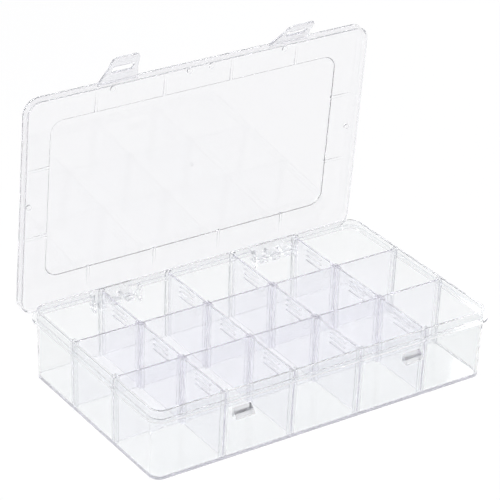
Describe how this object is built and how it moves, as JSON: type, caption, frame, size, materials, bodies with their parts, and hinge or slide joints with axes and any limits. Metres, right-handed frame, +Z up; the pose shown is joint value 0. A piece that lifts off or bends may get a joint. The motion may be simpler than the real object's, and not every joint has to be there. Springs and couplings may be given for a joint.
{
  "type": "compartment storage box",
  "caption": "Clear shallow storage box with a hinged, latched lid and slide-in dividers that make rows of open compartments for tape rolls and small craft parts.",
  "frame": {"origin": "middle of the tray's underside", "axes": "+Z up, +X along the box's length, -Y towards the latch side, +Y towards the hinges"},
  "size_m": [0.2674, 0.1785, 0.2231],
  "materials": {
    "clear_tray": "clear natural polypropylene, polished mould, slightly milky",
    "clear_lid": "clear natural polypropylene, polished mould, slightly milky",
    "clear_latch": "clear natural polypropylene, polished mould, slightly milky",
    "clear_divider": "clear natural polypropylene, polished mould, slightly milky"
  },
  "bodies": {
    "tray": {"tray": "clear_tray"},
    "lid": {"lid": "clear_lid"},
    "latch_left": {"latch_left": "clear_latch"},
    "latch_right": {"latch_right": "clear_latch"},
    "row_wall_front": {"row_wall_front": "clear_divider"},
    "row_wall_back": {"row_wall_back": "clear_divider"},
    "divider_front_1": {"divider_front_1": "clear_divider"},
    "divider_front_2": {"divider_front_2": "clear_divider"},
    "divider_front_3": {"divider_front_3": "clear_divider"},
    "divider_front_4": {"divider_front_4": "clear_divider"},
    "divider_middle_1": {"divider_middle_1": "clear_divider"},
    "divider_middle_2": {"divider_middle_2": "clear_divider"},
    "divider_middle_3": {"divider_middle_3": "clear_divider"},
    "divider_middle_4": {"divider_middle_4": "clear_divider"},
    "divider_back_1": {"divider_back_1": "clear_divider"},
    "divider_back_2": {"divider_back_2": "clear_divider"},
    "divider_back_3": {"divider_back_3": "clear_divider"},
    "divider_back_4": {"divider_back_4": "clear_divider"}
  },
  "joints": [
    {"name": "lid_hinge", "type": "hinge", "parent": "tray", "child": "lid", "pos_m": [0, 0.08101, 0.0378], "axis": [-1, 0, 0], "range_deg": [-85.56, 0]},
    {"name": "latch_left_hinge", "type": "hinge", "parent": "lid", "child": "latch_left", "pos_m": [-0.0668, 0.07721, 0.2017], "axis": [-1, 0, 0], "range_deg": [-66, 24], "stiffness_Nm_per_rad": 0.01},
    {"name": "latch_right_hinge", "type": "hinge", "parent": "lid", "child": "latch_right", "pos_m": [0.0668, 0.07721, 0.2017], "axis": [-1, 0, 0], "range_deg": [-52, 38], "stiffness_Nm_per_rad": 0.01},
    {"name": "row_wall_front_slide", "type": "slide", "parent": "tray", "child": "row_wall_front", "axis": [0, 0, 1], "range_m": [0, 0.055]},
    {"name": "row_wall_back_slide", "type": "slide", "parent": "tray", "child": "row_wall_back", "axis": [0, 0, 1], "range_m": [0, 0.055]},
    {"name": "divider_front_1_slide", "type": "slide", "parent": "tray", "child": "divider_front_1", "axis": [0, 0, 1], "range_m": [0, 0.055]},
    {"name": "divider_front_2_slide", "type": "slide", "parent": "tray", "child": "divider_front_2", "axis": [0, 0, 1], "range_m": [0, 0.055]},
    {"name": "divider_front_3_slide", "type": "slide", "parent": "tray", "child": "divider_front_3", "axis": [0, 0, 1], "range_m": [0, 0.055]},
    {"name": "divider_front_4_slide", "type": "slide", "parent": "tray", "child": "divider_front_4", "axis": [0, 0, 1], "range_m": [0, 0.055]},
    {"name": "divider_middle_1_slide", "type": "slide", "parent": "tray", "child": "divider_middle_1", "axis": [0, 0, 1], "range_m": [0, 0.055]},
    {"name": "divider_middle_2_slide", "type": "slide", "parent": "tray", "child": "divider_middle_2", "axis": [0, 0, 1], "range_m": [0, 0.055]},
    {"name": "divider_middle_3_slide", "type": "slide", "parent": "tray", "child": "divider_middle_3", "axis": [0, 0, 1], "range_m": [0, 0.055]},
    {"name": "divider_middle_4_slide", "type": "slide", "parent": "tray", "child": "divider_middle_4", "axis": [0, 0, 1], "range_m": [0, 0.055]},
    {"name": "divider_back_1_slide", "type": "slide", "parent": "tray", "child": "divider_back_1", "axis": [0, 0, 1], "range_m": [0, 0.055]},
    {"name": "divider_back_2_slide", "type": "slide", "parent": "tray", "child": "divider_back_2", "axis": [0, 0, 1], "range_m": [0, 0.055]},
    {"name": "divider_back_3_slide", "type": "slide", "parent": "tray", "child": "divider_back_3", "axis": [0, 0, 1], "range_m": [0, 0.055]},
    {"name": "divider_back_4_slide", "type": "slide", "parent": "tray", "child": "divider_back_4", "axis": [0, 0, 1], "range_m": [0, 0.055]}
  ]
}
